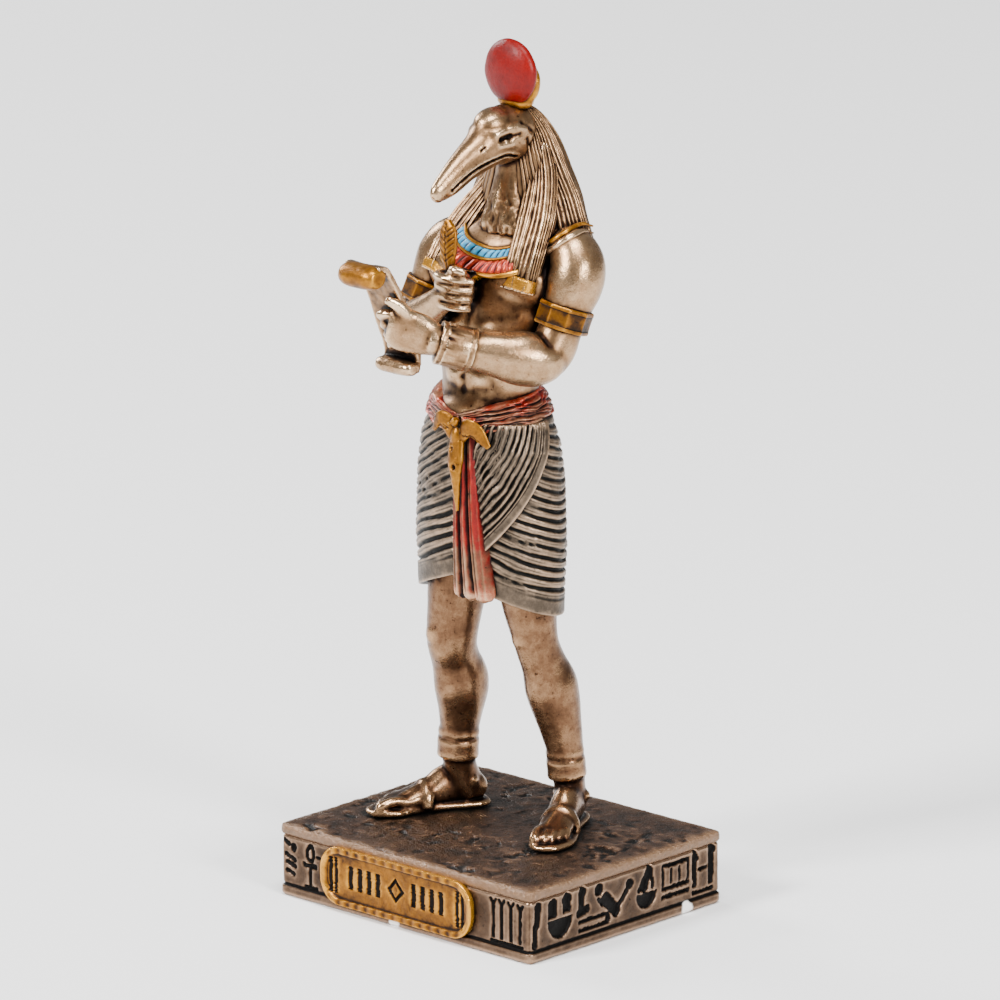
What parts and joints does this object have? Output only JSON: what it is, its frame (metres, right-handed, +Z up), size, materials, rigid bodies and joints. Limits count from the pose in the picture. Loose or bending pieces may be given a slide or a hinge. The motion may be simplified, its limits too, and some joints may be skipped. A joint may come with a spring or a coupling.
{
  "type": "ibis-headed deity figurine",
  "caption": "Standing ibis-headed figurine with disc, striped wig and pleated kilt, holding an open scroll and a pen, on a low carved block plinth.",
  "frame": {"origin": "centre of the plinth's underside", "axes": "+Z up, +X towards the figure's left hand, -Y the way the figure faces"},
  "size_m": [0.0346, 0.0322, 0.0882],
  "materials": {
    "bronze_resin": "satin bronze-powder resin, dark in the hollows and rubbed bright on the high places",
    "plinth_resin": "satin brown bronze-powder resin with a grey haze and rust patches",
    "kilt_patina": "satin grey-green bronze resin with dark pleats",
    "gold_paint": "satin gold paint, worn at the edges",
    "red_paint": "satin red paint rubbed through to bronze on the folds",
    "blue_paint": "satin light blue paint"
  },
  "bodies": {
    "root": {"figure": "bronze_resin", "plinth": "plinth_resin"}
  },
  "joints": []
}
